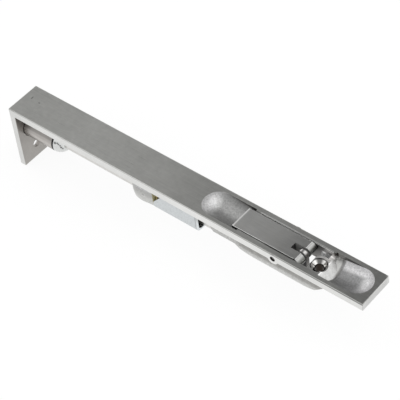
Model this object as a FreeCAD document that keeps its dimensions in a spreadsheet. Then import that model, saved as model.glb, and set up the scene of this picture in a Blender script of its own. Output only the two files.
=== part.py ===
import FreeCAD, Part
import Sketcher
import math
import os
import re

# Lever flush bolt for the edge of a door, drawn with the bolt drawn back.
# +X runs along the faceplate from the toe, +Y across it and +Z out of the door's edge.
# The origin is the centre of the mouth of the toe's bolt hole, on the bolt's axis.

dimensions = {
    # faceplate and toe
    "plateLength": 203.0,
    "plateWidth": 19.0,
    "plateThick": 4.25,
    "toeDepth": 36.5,
    "toeThick": 3.4,
    "edgeRound": 0.4,
    "boltDrop": 15.8,
    "toeScrewDrop": 28.7,
    "screwHole": 4.4,
    "screwHead": 7.8,
    # bolt, collar and rod
    "boltDia": 12.0,
    "boltGap": 0.4,
    "boltLength": 21.5,
    "noseChamfer": 0.6,
    "neckDia": 10.4,
    "neckLength": 0.5,
    "collarTip": 6.4,
    "domeRadius": 6.0,
    "rodDia": 5.0,
    "rodEndDia": 3.4,
    "rodGrip": 9.5,
    # lug and bush
    "lugStart": 69.1,
    "lugLength": 14.9,
    "lugRadius": 6.3,
    "lugTaper": 6.3,
    "lugNarrow": 0.6,
    "lugDome": 14.9,
    "lugDomeZ": 8.6,
    "bushDia": 7.0,
    "bushStand": 0.6,
    "bushSet": 7.0,
    "runGap": 0.06,
    # guide channel and spring leaf
    "channelLength": 26.0,
    "channelWidth": 12.2,
    "channelDepth": 19.3,
    "channelWall": 0.9,
    "channelSide": 1.4,
    "channelRound": 3.0,
    "lipWidth": 2.2,
    "cornerDepth": 15.3,
    "cornerRun": 9.7,
    "seatDepth": 0.3,
    "leafWidth": 5.0,
    "leafThick": 0.5,
    "leafSpan": 24.0,
    # lever, its pivot and its crank
    "pivotX": 156.0,
    "pivotDepth": 2.86,
    "crankRadius": 9.0,
    "leverReach": 24.7,
    "leverWidth": 12.4,
    "leverTip": 2.3,
    "leverHeel": 1.5,
    "tipBevel": 0.9,
    "sideBevel": 0.3,
    "bevelDrop": 0.3,
    "forkWidth": 3.4,
    "forkDepth": 5.1,
    "pinDia": 2.5,
    "pinRecess": 0.6,
    "pinBoss": 2.85,
    "crankPinInset": 0.2,
    "clevisPinDia": 3.0,
    # link between the crank and the rod
    "linkThick": 2.4,
    "linkEye": 2.45,
    "footBack": 17.0,
    "footRadius": 2.9,
    "cradleGap": 0.12,
    "mouthEase": 0.18,
    "mouthDip": 0.5,
    "mouthRise": 4.6,
    "mouthBack": 2.5,
    "mouthFront": 1.15,
    "kneeDrop": 7.4,
    "heelDrop": 10.4,
    "heelBack": 2.5,
    "elbowDrop": 3.4,
    "armBack": 5.5,
    "armDrop": 6.6,
    # clevis and lock nut
    "clevisWidth": 6.8,
    "clevisTall": 5.0,
    "clevisSlot": 2.8,
    "clevisThroat": 5.1,
    "clevisShank": 5.4,
    "shankWeb": 0.8,
    "nutFlats": 8.0,
    "nutLength": 3.2,
    # housing under the faceplate
    "housingRadius": 8.3,
    "housingDrop": 8.6,
    "housingDepth": 12.8,
    "pocketWidth": 13.2,
    "pocketStart": 134.9,
    "bossStart": 169.8,
    "skirtStart": 119.0,
    "skirtFull": 122.0,
    "skirtDepth": 8.4,
    "skirtEnd": 134.2,
    "kneeX": 136.5,
    "kneeDepth": 10.4,
    "bellyStart": 143.0,
    "bellyEnd": 170.5,
    "haunchX": 176.6,
    "haunchDepth": 10.4,
    "housingEnd": 183.4,
    # screw boss, ramp and the window in the far wall
    "bossDepth": 3.85,
    "bossThick": 6.8,
    "bossRadius": 5.1,
    "moatEnd": 174.8,
    "moatDrop": 4.0,
    "screwX": 173.6,
    "rampStart": 176.4,
    "rampRun": 5.8,
    "rampDrop": 3.15,
    "windowStart": 159.5,
    "windowEnd": 169.0,
    "windowTop": 9.6,
    # finger scoops
    "scoopWidth": 14.6,
    "leftScoopX": 118.8,
    "leftScoopDepth": 5.4,
    "leftScoopFall": 1.2,
    "rightScoopX": 193.4,
    "rightScoopDepth": 4.6,
    "rightScoopFall": 2.6,
    "rightScoopStart": 177.7,
    "scoopWall": 1.4,
    "scoopLap": 0.4,
    # how far a cutting solid runs past what it cuts
    "spare": 1.0,
}

doc = FreeCAD.newDocument("door_bolt")
sheet = doc.addObject("Spreadsheet::Sheet", "dims")
for row, (alias, size) in enumerate(dimensions.items(), start=1):
    sheet.set("A%d" % row, alias)
    sheet.set("B%d" % row, repr(size))
    sheet.setAlias("B%d" % row, alias)
doc.recompute()


def cells(text):
    """Turn the plain names in a formula into references to the sheet."""
    def refer(word):
        return "dims." + word.group(0) if word.group(0) in dimensions else word.group(0)
    return re.sub(r"[A-Za-z]\w*", refer, str(text))


def size(text):
    """Work a formula out from the sheet."""
    return float(sheet.evalExpression(cells(text)))


def bind(item, path, text):
    item.setExpression(path, cells(text))


def place(item, x, y, z):
    bind(item, "Placement.Base.x", x)
    bind(item, "Placement.Base.y", y)
    bind(item, "Placement.Base.z", z)
    return item


def block(name, xs, ys, zs):
    """A box between two corners."""
    item = doc.addObject("Part::Box", name)
    bind(item, "Length", "(%s) - (%s)" % (xs[1], xs[0]))
    bind(item, "Width", "(%s) - (%s)" % (ys[1], ys[0]))
    bind(item, "Height", "(%s) - (%s)" % (zs[1], zs[0]))
    return place(item, xs[0], ys[0], zs[0])


turns = {
    "x": FreeCAD.Rotation(FreeCAD.Vector(0, 1, 0), 90),
    "y": FreeCAD.Rotation(FreeCAD.Vector(1, 0, 0), -90),
    "z": FreeCAD.Rotation(),
}


def rod(name, along, start, length, radius):
    """A cylinder that starts at a point and runs along one axis."""
    item = doc.addObject("Part::Cylinder", name)
    item.Placement.Rotation = turns[along]
    bind(item, "Radius", radius)
    bind(item, "Height", length)
    return place(item, *start)


def cone(name, along, start, length, radius, end_radius):
    """A cone that starts at a point and runs along one axis."""
    item = doc.addObject("Part::Cone", name)
    item.Placement.Rotation = turns[along]
    bind(item, "Radius1", radius)
    bind(item, "Radius2", end_radius)
    bind(item, "Height", length)
    return place(item, *start)


def ball(name, centre, radius):
    item = doc.addObject("Part::Sphere", name)
    bind(item, "Radius", radius)
    return place(item, *centre)


def outline(sketch, corners, bowed=None, radius="0"):
    """Draw a closed outline whose corners are held by the sheet, with at most one bowed side."""
    points = [FreeCAD.Vector(size(across), size(up), 0) for across, up in corners]
    count = len(points)
    for index in range(count):
        start = points[index]
        finish = points[(index + 1) % count]
        if index == bowed:
            # the bow starts level, so its centre lies straight below its start
            sweep = math.asin((finish.x - start.x) / size(radius))
            half_way = start + FreeCAD.Vector(math.sin(sweep / 2), math.cos(sweep / 2) - 1, 0) * size(radius)
            sketch.addGeometry(Part.Arc(start, half_way, finish), False)
        else:
            sketch.addGeometry(Part.LineSegment(start, finish), False)
    # a clockwise bow is stored the other way round, so its start and finish change places
    first = {bowed: 2}
    last = {bowed: 1}
    for index in range(count):
        following = (index + 1) % count
        ends = (index, last.get(index, 2), following, first.get(following, 1))
        sketch.addConstraint(Sketcher.Constraint("Coincident", *ends))
    for index, (across, up) in enumerate(corners):
        for kind, text, spot in (("DistanceX", across, points[index].x), ("DistanceY", up, points[index].y)):
            held = sketch.addConstraint(Sketcher.Constraint(kind, -1, 1, index, first.get(index, 1), spot))
            bind(sketch, "Constraints[%d]" % held, text)
    if bowed is not None:
        held = sketch.addConstraint(Sketcher.Constraint("Radius", bowed, size(radius)))
        bind(sketch, "Constraints[%d]" % held, radius)


def side_slab(name, corners, low_y, high_y):
    """An outline in the XZ plane, made solid from one Y to another."""
    sketch = doc.addObject("Sketcher::SketchObject", name + "_outline")
    sketch.Placement.Rotation = FreeCAD.Rotation(FreeCAD.Vector(1, 0, 0), 90)
    bind(sketch, "Placement.Base.y", high_y)
    outline(sketch, corners)
    item = doc.addObject("Part::Extrusion", name)
    item.Base = sketch
    item.DirMode = "Custom"
    item.Dir = FreeCAD.Vector(0, -1, 0)
    bind(item, "LengthFwd", "(%s) - (%s)" % (high_y, low_y))
    item.Solid = True
    return item


def plan_slab(name, corners, low_z, high_z):
    """An outline in the XY plane, made solid from one Z to another."""
    sketch = doc.addObject("Sketcher::SketchObject", name + "_outline")
    bind(sketch, "Placement.Base.z", low_z)
    outline(sketch, corners)
    item = doc.addObject("Part::Extrusion", name)
    item.Base = sketch
    item.DirMode = "Custom"
    item.Dir = FreeCAD.Vector(0, 0, 1)
    bind(item, "LengthFwd", "(%s) - (%s)" % (high_z, low_z))
    item.Solid = True
    return item


def join(name, *items):
    item = doc.addObject("Part::MultiFuse", name)
    item.Shapes = list(items)
    item.Refine = True
    return item


def cut(name, base, *tools):
    item = doc.addObject("Part::Cut", name)
    item.Base = base
    item.Tool = tools[0] if len(tools) == 1 else join(name + "_tools", *tools)
    item.Refine = True
    return item


def common(name, *items):
    item = doc.addObject("Part::MultiCommon", name)
    item.Shapes = list(items)
    return item


def soften(name, base, radius, wanted):
    """Round the edges of a solid that the test picks."""
    doc.recompute()
    item = doc.addObject("Part::Fillet", name)
    item.Base = base
    picked = [number for number, edge in enumerate(base.Shape.Edges, start=1) if wanted(edge)]
    item.Edges = [(number, size(radius), size(radius)) for number in picked]
    return item


def lies(edge, axis, spot):
    """True where the whole edge stays at one coordinate."""
    box = edge.BoundBox
    low, high = {"x": (box.XMin, box.XMax), "y": (box.YMin, box.YMax), "z": (box.ZMin, box.ZMax)}[axis]
    return abs(low - spot) < 0.01 and abs(high - spot) < 0.01


# heights and places that several pieces share
face = "boltDrop"
back = "(boltDrop - plateThick)"
half = "(plateWidth / 2)"
above = "(boltDrop + spare)"
below = "(0 - toeDepth)"
pocket_side = "(pocketWidth / 2)"
pivot_z = "(boltDrop - pivotDepth)"
crank_x = "(pivotX + crankRadius)"
foot_x = "(pivotX + crankRadius - footBack)"
lug_end = "(lugStart + lugLength)"
channel_start = "(lugStart + lugLength + bushStand)"
channel_end = "(lugStart + lugLength + channelLength)"
channel_foot = "(boltDrop - channelDepth)"
seat = "(boltDrop - plateThick + seatDepth)"
clevis_start = "(pivotX + crankRadius - footBack - clevisThroat - clevisShank)"
pin_radius = "(pinDia / 2)"
rod_radius = "(rodDia / 2)"
rod_end_radius = "(rodEndDia / 2)"
nut_start = "(pivotX + crankRadius - footBack - clevisThroat - clevisShank - nutLength)"
rod_end = "(pivotX + crankRadius - footBack - clevisThroat - shankWeb)"


def depth(text):
    """Height of a point that lies this far behind the front face."""
    return "(boltDrop - (%s))" % text


def mirrored(text):
    return "(0 - %s)" % text


def angle_plate():
    """The faceplate and its toe, folded from one thickness of bar."""
    corners = [
        ("0", face),
        ("plateLength", face),
        ("plateLength", back),
        ("toeThick", back),
        ("toeThick", depth("toeDepth")),
        ("0", depth("toeDepth")),
    ]
    bar = side_slab("angle_bar", corners, mirrored(half), half)
    inner = size(back)

    def outside(edge):
        return not (lies(edge, "x", size("toeThick")) and lies(edge, "z", inner))
    return soften("angle_bar_eased", bar, "edgeRound", outside)


def rod_lug():
    """The lug that carries the rod's bush, with a nose that is round in plan and from the side."""
    side = (mirrored("lugRadius"), "lugRadius")
    middle = "(lugStart + lugRadius)"
    taper = "(lugStart + lugLength - lugTaper)"
    narrow = "(lugRadius - lugNarrow)"
    corners = [
        ("lugStart", side[0]),
        (taper, side[0]),
        (lug_end, mirrored(narrow)),
        (lug_end, narrow),
        (taper, side[1]),
        ("lugStart", side[1]),
    ]
    body = join(
        "lug_body",
        plan_slab("lug_upright", corners, "0", back),
        rod("lug_barrel", "x", ("lugStart", "0", "0"), "%s - lugStart" % taper, "lugRadius"),
        cone("lug_tail", "x", (taper, "0", "0"), "lugTaper", "lugRadius", narrow),
    )
    plan = join(
        "lug_plan",
        rod("lug_nose", "z", (middle, "0", side[0]), "lugRadius + %s" % back, "lugRadius"),
        block("lug_rear", (middle, lug_end), side, (side[0], back)),
    )
    centre = (lug_end, "0", "lugDomeZ")
    dome = join(
        "lug_dome",
        ball("lug_ball", centre, "lugDome"),
        rod("lug_column", "z", centre, "%s - lugDomeZ" % back, "lugDome"),
    )
    return common("lug", body, plan, dome)


def housing():
    """The walls on both sides of the lever and the skirts under the left scoop."""
    corners = [
        ("skirtStart", back),
        ("skirtFull", depth("skirtDepth")),
        ("skirtEnd", depth("skirtDepth")),
        ("kneeX", depth("kneeDepth")),
        ("bellyStart", depth("housingDepth")),
        ("bellyEnd", depth("housingDepth")),
        ("haunchX", depth("haunchDepth")),
        ("housingEnd", back),
    ]
    side = side_slab("housing_side", corners, mirrored(half), half)
    run = "housingEnd - skirtStart"
    round_part = rod("housing_round", "x", ("skirtStart", "0", depth("housingDrop")), run, "housingRadius")
    width = (mirrored("housingRadius"), "housingRadius")
    upper = block("housing_upper", ("skirtStart", "housingEnd"), width, (depth("housingDrop"), back))
    section = join("housing_section", round_part, upper)
    outer = common("housing_outer", side, section)
    pocket = (mirrored(pocket_side), pocket_side)
    hollow = block("scoop_hollow", ("skirtFull", "pocketStart"), pocket, (below, back))
    return cut("housing_shell", outer, hollow)


def capsule(name, start_x, ball_x, fall, deep, radius, wall):
    """A ball with a sloping cylinder behind it, for a finger scoop."""
    rise = "(%s + %s - %s)" % (face, radius, deep)
    run = "(%s - %s)" % (ball_x, start_x)
    # the cylinder runs on past its start, so that its slanted end lies outside the scoop
    stretch = "(1 + 2 * spare / abs(%s))" % run
    length = "(sqrt(%s ^ 2 + %s ^ 2) * %s)" % (run, fall, stretch)
    end = ball(name + "_ball", (ball_x, "0", rise), "(%s + %s)" % (radius, wall))
    barrel = doc.addObject("Part::Cylinder", name + "_barrel")
    bind(barrel, "Radius", "%s + %s" % (radius, wall))
    bind(barrel, "Height", length)
    sign = 1 if size(ball_x) > size(start_x) else -1
    slope = math.degrees(math.atan2(size(fall), abs(size(run))))
    barrel.Placement.Rotation = FreeCAD.Rotation(FreeCAD.Vector(0, 1, 0), sign * (90 - slope))
    place(barrel, "%s - %s * %s" % (ball_x, run, stretch), "0", "%s - %s * %s" % (rise, fall, stretch))
    return join(name, end, barrel)


def scoops():
    """The two scoops as pairs of an outer shell and a hollow with upright sides."""
    pairs = []
    rim = "(scoopWidth / 2)"
    for name, start, centre, ends, fall, deep in (
        ("left_scoop", "pocketStart", "leftScoopX", ("leftScoopX - scoopWidth", "pocketStart"),
         "leftScoopFall", "leftScoopDepth"),
        ("right_scoop", "rightScoopStart", "rightScoopX", ("rightScoopStart", "rightScoopX + scoopWidth"),
         "rightScoopFall", "rightScoopDepth"),
    ):
        # the ball's radius that gives the wanted rim at the wanted depth
        radius = "((%s ^ 2 + %s ^ 2) / (2 * %s))" % (rim, deep, deep)
        shell = capsule(name + "_shell", start, centre, fall, deep, radius, "scoopWall")
        round_part = capsule(name + "_round", start, centre, fall, deep, radius, "0")
        limit = block(name + "_limit", ends, (mirrored(rim), rim), (below, above))
        pairs.append((shell, common(name + "_hollow", round_part, limit)))
    return pairs


def faceplate_casting():
    """The one casting: faceplate, toe, lug, housing, screw boss and scoops."""
    plate = angle_plate()
    (left_shell, left_hollow), (right_shell, right_hollow) = scoops()
    wide = (mirrored("housingRadius"), "housingRadius")
    shell_limit = block("shell_limit", ("leftScoopX - scoopWidth", "plateLength - edgeRound"), wide,
                        (below, depth("edgeRound")))
    shells = common("scoop_shells", join("both_shells", left_shell, right_shell), shell_limit)
    bosses = []
    for label, start in (("near", mirrored(half)), ("far", pocket_side)):
        ring = rod("pin_boss_" + label, "y", ("pivotX", start, pivot_z), "%s - %s" % (half, pocket_side),
                   "pinBoss")
        bosses.append(ring)
    solid = join("casting_solid", plate, housing(), shells, *bosses, rod_lug())

    pocket = (mirrored(pocket_side), pocket_side)
    ramp_end = "(rampStart + rampRun)"
    ramp_foot = depth("bossDepth + rampDrop")
    well_end = "(rightScoopStart + scoopLap)"
    well_start = "(pocketStart - scoopLap)"
    step_drop = "(bossDepth + rampDrop * (%s - rampStart) / rampRun)" % well_end
    well_corners = [
        (well_start, above),
        (well_end, above),
        (well_end, depth(step_drop)),
        ("rampStart", depth("bossDepth")),
        ("bossStart", depth("bossDepth")),
        ("bossStart", below),
        (well_start, below),
    ]
    well = side_slab("well", well_corners, *pocket)
    boss_room = block("boss_room", ("bossStart - spare", "housingEnd"), pocket,
                      (below, depth("bossDepth + bossThick")))
    around_boss = block("around_boss", ("bossStart - spare", "moatEnd"), pocket,
                        (depth("bossDepth + moatDrop"), above))
    boss_round = rod("boss_round", "z", ("screwX", "0", below), "%s - %s" % (above, below), "bossRadius")
    moat = cut("moat", around_boss, boss_round)
    ramp_corners = [
        ("rampStart - spare", depth("bossDepth")),
        ("rampStart", depth("bossDepth")),
        (ramp_end, ramp_foot),
        (ramp_end, below),
        ("rampStart - spare", below),
    ]
    ramp = side_slab("ramp", ramp_corners, mirrored(half), half)
    dish = cut("right_dish", right_hollow, ramp)
    window = block("window", ("windowStart", "windowEnd"), ("0", half), (below, depth("windowTop")))
    through_toe = "toeThick + 2 * spare"
    bolt_hole = rod("bolt_hole", "x", ("0 - spare", "0", "0"), through_toe, "boltDia / 2 + boltGap")
    toe_hole = rod("toe_screw_hole", "x", ("0 - spare", "0", depth("toeScrewDrop")), through_toe,
                   "screwHole / 2")
    sink = "((screwHead - screwHole) / 2)"
    toe_sink = cone("toe_countersink", "x", ("0", "0", depth("toeScrewDrop")), sink, "screwHead / 2",
                    "screwHole / 2")
    face_hole = rod("face_screw_hole", "z", ("screwX", "0", below), "%s - %s" % (above, below),
                    "screwHole / 2")
    face_sink = cone("face_countersink", "z", ("screwX", "0", "%s - %s" % (depth("bossDepth"), sink)), sink,
                     "screwHole / 2", "screwHead / 2")
    sink_clear = rod("countersink_clear", "z", ("screwX", "0", depth("bossDepth")), "bossDepth",
                     "screwHead / 2")
    lug_bore = rod("lug_bore", "x", ("lugStart + bushSet", "0", "0"), "lugLength - bushSet + spare",
                   "bushDia / 2")
    rod_way = rod("rod_way", "x", ("lugStart - spare", "0", "0"), "bushSet + 2 * spare",
                  "rodDia / 2 + boltGap")
    pin_bore = rod("pin_bore", "y", ("pivotX", mirrored(half), pivot_z), "plateWidth", pin_radius)
    seat_side = "(channelWidth / 2 + runGap)"
    channel_seat = block("channel_seat", (lug_end, "%s + runGap" % channel_end),
                         (mirrored(seat_side), seat_side), (back, seat))
    return cut("casting", solid, left_hollow, dish, well, boss_room, moat, window, bolt_hole, toe_hole,
               toe_sink, face_hole, face_sink, sink_clear, lug_bore, rod_way, pin_bore,
               channel_seat)


def guide_channel():
    """The lipped steel channel that shields the rod behind the lug."""
    side = "(channelWidth / 2)"
    inner = "(channelWidth / 2 - channelSide)"
    ends = (channel_start, channel_end)
    outer = block("channel_outer", ends, (mirrored(side), side), (channel_foot, seat))
    foot = size(channel_foot)
    outer_round = soften("channel_outer_round", outer, "channelRound",
                         lambda edge: lies(edge, "z", foot) and abs(edge.BoundBox.XLength) > 1)
    floor = "%s + channelWall" % channel_foot
    past_ends = ("%s - spare" % lug_end, "%s + spare" % channel_end)
    room = block("channel_room", past_ends, (mirrored(inner), inner), (floor, "%s - channelWall" % seat))
    inside = size(floor)
    room_round = soften("channel_room_round", room, "channelRound - channelWall",
                        lambda edge: lies(edge, "z", inside) and abs(edge.BoundBox.XLength) > 1)
    lip = "(channelWidth / 2 - lipWidth)"
    mouth = block("channel_mouth", past_ends, (mirrored(lip), lip), ("0", above))
    corner_cut = [
        (past_ends[0], above),
        ("%s + cornerRun" % lug_end, above),
        ("%s + cornerRun" % lug_end, back),
        (lug_end, depth("cornerDepth")),
        (past_ends[0], depth("cornerDepth")),
    ]
    corner = side_slab("channel_corner", corner_cut, mirrored(half), half)
    return cut("channel", outer_round, room_round, mouth, corner)


def spring_leaf():
    """The bowed bronze leaf that rubs on the rod and holds it where it is left."""
    middle = "(%s + channelLength / 2)" % lug_end
    low = "(rodDia / 2 + runGap)"
    bow = "(%s - %s)" % (seat, low)
    outer = "(((leafSpan / 2) ^ 2 + %s ^ 2) / (2 * %s))" % (bow, bow)
    side = "(leafWidth / 2)"
    centre = (middle, mirrored(side), "%s + %s" % (low, outer))
    big = rod("leaf_outer", "y", centre, "leafWidth", outer)
    small = rod("leaf_inner", "y", centre, "leafWidth", "%s - leafThick" % outer)
    ring = cut("leaf_ring", big, small)
    keep = block("leaf_limit", ("%s - leafSpan" % middle, "%s + leafSpan" % middle), (mirrored(side), side),
                 ("0", seat))
    return common("leaf", ring, keep)


def rod_bush():
    """The bush in the lug's bore, behind the round nose."""
    body = rod("bush_body", "x", ("lugStart + bushSet", "0", "0"), "lugLength + bushStand - bushSet",
               "bushDia / 2")
    bore = rod("bush_bore", "x", ("lugStart - spare", "0", "0"), "lugLength + bushStand + 2 * spare",
               "rodDia / 2 + runGap")
    return cut("bush", body, bore)


def lever():
    """The wedge-shaped lever, flush with the faceplate at both ends of its swing."""
    reach = "(pivotX - leverReach)"
    side = "(leverWidth / 2)"
    under = depth("2 * pivotDepth")
    corners = [
        (reach, face),
        (crank_x, face),
        (crank_x, under),
        ("pivotX - leverHeel", under),
        (reach, depth("leverTip")),
    ]
    wedge = side_slab("lever_wedge", corners, mirrored(side), side)
    top = size(face)
    tip = size(reach)
    doc.recompute()
    bevel = doc.addObject("Part::Chamfer", "lever_bevel")
    bevel.Base = wedge
    edges = []
    for number, edge in enumerate(wedge.Shape.Edges, start=1):
        if lies(edge, "z", top) and lies(edge, "x", tip):
            edges.append((number, size("bevelDrop"), size("tipBevel")))
        elif lies(edge, "z", top) and edge.BoundBox.XLength > 1:
            edges.append((number, size("bevelDrop"), size("sideBevel")))
    bevel.Edges = edges
    knuckle = rod("lever_knuckle", "y", (crank_x, mirrored(side), pivot_z), "leverWidth", "pivotDepth")
    whole = join("lever_whole", bevel, knuckle)
    fork = block("lever_fork", ("%s - forkDepth" % crank_x, "%s + crankRadius" % crank_x),
                 ("0 - forkWidth / 2", "forkWidth / 2"), ("0", above))
    crank_bore = rod("crank_bore", "y", (crank_x, mirrored(half), pivot_z), "plateWidth", pin_radius)
    pivot_bore = rod("pivot_bore", "y", ("pivotX", mirrored(half), pivot_z), "plateWidth",
                     "%s + runGap" % pin_radius)
    return cut("lever_part", whole, fork, crank_bore, pivot_bore)


def pivot_pin():
    return rod("pivot_pin", "y", ("pivotX", "pinRecess - %s" % half, pivot_z), "plateWidth - 2 * pinRecess",
               pin_radius)


def crank_pin():
    side = "(leverWidth / 2 - crankPinInset)"
    return rod("crank_pin_part", "y", (crank_x, mirrored(side), pivot_z), "2 * %s" % side, pin_radius)


def link():
    """The hooked link: it hangs from the crank pin and cradles the clevis pin."""
    side = "(linkThick / 2)"

    def at(across, drop):
        return ("%s + %s" % (crank_x, across), "%s - (%s)" % (pivot_z, drop))
    corners = [
        at("linkEye", "0"),
        at("linkEye", "kneeDrop"),
        at("(0 - heelBack)", "heelDrop"),
        at("(0 - footBack)", "%s + footRadius" % pivot_z),
        at("(0 - footBack)", "%s - footRadius" % pivot_z),
        at("(0 - armBack)", "armDrop"),
        at("(0 - linkEye)", "elbowDrop"),
        at("(0 - linkEye)", "0"),
    ]
    arm = side_slab("link_arm", corners, mirrored(side), side)
    eye = rod("link_eye", "y", (crank_x, mirrored(side), pivot_z), "linkThick", "linkEye")
    foot = rod("link_foot", "y", (foot_x, mirrored(side), "0"), "linkThick", "footRadius")
    whole = join("link_whole", arm, eye, foot)
    eye_bore = rod("link_eye_bore", "y", (crank_x, mirrored(half), pivot_z), "plateWidth",
                   "%s + runGap" % pin_radius)
    seat = "(clevisPinDia / 2 + cradleGap)"
    cradle = rod("link_cradle", "y", (foot_x, mirrored(half), "0"), "plateWidth", seat)
    mouth_corners = [
        ("%s - %s - mouthEase" % (foot_x, seat), "0 - mouthDip"),
        ("%s + %s + mouthEase" % (foot_x, seat), "0 - mouthDip"),
        ("%s + %s + mouthEase + mouthFront" % (foot_x, seat), "mouthRise"),
        ("%s - %s - mouthEase - mouthBack" % (foot_x, seat), "mouthRise"),
    ]
    mouth = side_slab("link_mouth", mouth_corners, mirrored(side), side)
    return cut("link_part", whole, eye_bore, cradle, mouth)


def rod_clevis():
    """The forked end of the rod."""
    side = "(clevisWidth / 2)"
    tall = "(clevisTall / 2)"
    body = block("clevis_body", (clevis_start, foot_x), (mirrored(side), side), (mirrored(tall), tall))
    end = rod("clevis_end", "y", (foot_x, mirrored(side), "0"), "clevisWidth", tall)
    whole = join("clevis_whole", body, end)
    slot = block("clevis_slot", ("%s - clevisThroat" % foot_x, "%s + clevisTall" % foot_x),
                 ("0 - clevisSlot / 2", "clevisSlot / 2"), (mirrored("clevisTall"), "clevisTall"))
    pin_hole = rod("clevis_pin_hole", "y", (foot_x, mirrored(half), "0"), "plateWidth", "clevisPinDia / 2")
    socket = rod("clevis_socket", "x", (clevis_start, "0", "0"), "clevisShank - shankWeb",
                 rod_end_radius)
    return cut("clevis", whole, slot, pin_hole, socket)


def clevis_pin():
    return rod("clevis_pin_part", "y", (foot_x, "0 - clevisWidth / 2", "0"), "clevisWidth",
               "clevisPinDia / 2")


def lock_nut():
    """The thin hexagon nut that locks the clevis on the rod's thread."""
    body = doc.addObject("Part::Prism", "nut_body")
    body.Polygon = 6
    bind(body, "Circumradius", "nutFlats / sqrt(3)")
    bind(body, "Height", "nutLength")
    # a corner of the hexagon points sideways, so that two flats lie level
    body.Placement.Rotation = turns["x"].multiply(FreeCAD.Rotation(FreeCAD.Vector(0, 0, 1), 90))
    place(body, nut_start, "0", "0")
    bore = rod("nut_bore", "x", ("%s - spare" % nut_start, "0", "0"), "nutLength + 2 * spare",
               rod_end_radius)
    return cut("nut", body, bore)


def turned(name, corners, bowed=None, radius="0"):
    """A piece turned about the bolt's axis from half of its outline."""
    body = doc.addObject("PartDesign::Body", name)
    sketch = body.newObject("Sketcher::SketchObject", name + "_outline")
    plane = [item for item in body.Origin.OriginFeatures if item.Role == "XZ_Plane"][0]
    sketch.AttachmentSupport = [(plane, "")]
    sketch.MapMode = "FlatFace"
    outline(sketch, corners, bowed, radius)
    turn = body.newObject("PartDesign::Revolution", name + "_turn")
    turn.Profile = sketch
    turn.ReferenceAxis = (sketch, ["H_Axis"])
    turn.Angle = 360
    return body


def connecting_rod():
    """The rod, turned down at its far end for the nut and the clevis."""
    start = "(boltLength - rodGrip)"
    corners = [
        (start, "0"),
        (start, rod_radius),
        (nut_start, rod_radius),
        (nut_start, rod_end_radius),
        (rod_end, rod_end_radius),
        (rod_end, "0"),
    ]
    return turned("rod_body", corners)


def bolt():
    """The round bolt, drilled at the back for the rod."""
    radius = "(boltDia / 2)"
    corners = [
        ("0", "0"),
        ("0", "%s - noseChamfer" % radius),
        ("noseChamfer", radius),
        ("boltLength", radius),
        ("boltLength", rod_radius),
        ("boltLength - rodGrip", rod_radius),
        ("boltLength - rodGrip", "0"),
    ]
    return turned("bolt_body", corners)


def bolt_collar():
    """The domed collar that locks the rod into the bolt, with a neck that leaves a dark ring."""
    radius = "(boltDia / 2)"
    dome_start = "(boltLength + neckLength)"
    # the dome ends where it has narrowed to the tip's diameter
    collar_end = "(%s + sqrt(domeRadius ^ 2 - (collarTip / 2 - %s + domeRadius) ^ 2))" % (dome_start, radius)
    corners = [
        ("boltLength", rod_radius),
        ("boltLength", "neckDia / 2"),
        (dome_start, "neckDia / 2"),
        (dome_start, radius),
        (collar_end, "collarTip / 2"),
        (collar_end, rod_radius),
    ]
    return turned("collar_body", corners, 3, "domeRadius")


nodes = {
    "faceplate_casting": faceplate_casting(),
    "guide_channel": guide_channel(),
    "spring_leaf": spring_leaf(),
    "rod_bush": rod_bush(),
    "lever_pivot_pin": pivot_pin(),
    "lever": lever(),
    "crank_pin": crank_pin(),
    "link": link(),
    "rod_clevis": rod_clevis(),
    "clevis_pin": clevis_pin(),
    "clevis_lock_nut": lock_nut(),
    "connecting_rod": connecting_rod(),
    "bolt_collar": bolt_collar(),
    "bolt": bolt(),
}
doc.recompute()

for item in doc.Objects:
    if "Invalid" in item.State or "Error" in item.State:
        raise RuntimeError("%s failed: %s" % (item.Name, item.State))
for name, item in nodes.items():
    item.Label = name
    if item.Shape.isNull() or not item.Shape.isValid():
        raise RuntimeError("%s has no valid shape" % name)
    if len(item.Shape.Solids) != 1:
        raise RuntimeError("%s has %d solids" % (name, len(item.Shape.Solids)))

os.makedirs("parts", exist_ok=True)
for name, item in nodes.items():
    item.Shape.exportStep(os.path.join("parts", name + ".step"))
    box = item.Shape.optimalBoundingBox(False)
    print("%-18s %9.1f mm3  X %.2f..%.2f  Y %.2f..%.2f  Z %.2f..%.2f" % (
        name, item.Shape.Volume, box.XMin, box.XMax, box.YMin, box.YMax, box.ZMin, box.ZMax))
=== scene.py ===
import math
import bpy
from mathutils import Euler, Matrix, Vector

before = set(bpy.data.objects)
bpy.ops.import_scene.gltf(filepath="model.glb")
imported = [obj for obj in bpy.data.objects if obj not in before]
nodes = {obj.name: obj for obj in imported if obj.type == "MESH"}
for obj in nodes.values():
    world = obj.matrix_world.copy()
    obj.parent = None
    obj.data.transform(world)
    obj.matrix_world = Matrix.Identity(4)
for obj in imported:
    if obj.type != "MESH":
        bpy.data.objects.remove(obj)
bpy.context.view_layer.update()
mm = 0.001
print("frame loaded with", len(nodes), "nodes")


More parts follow.
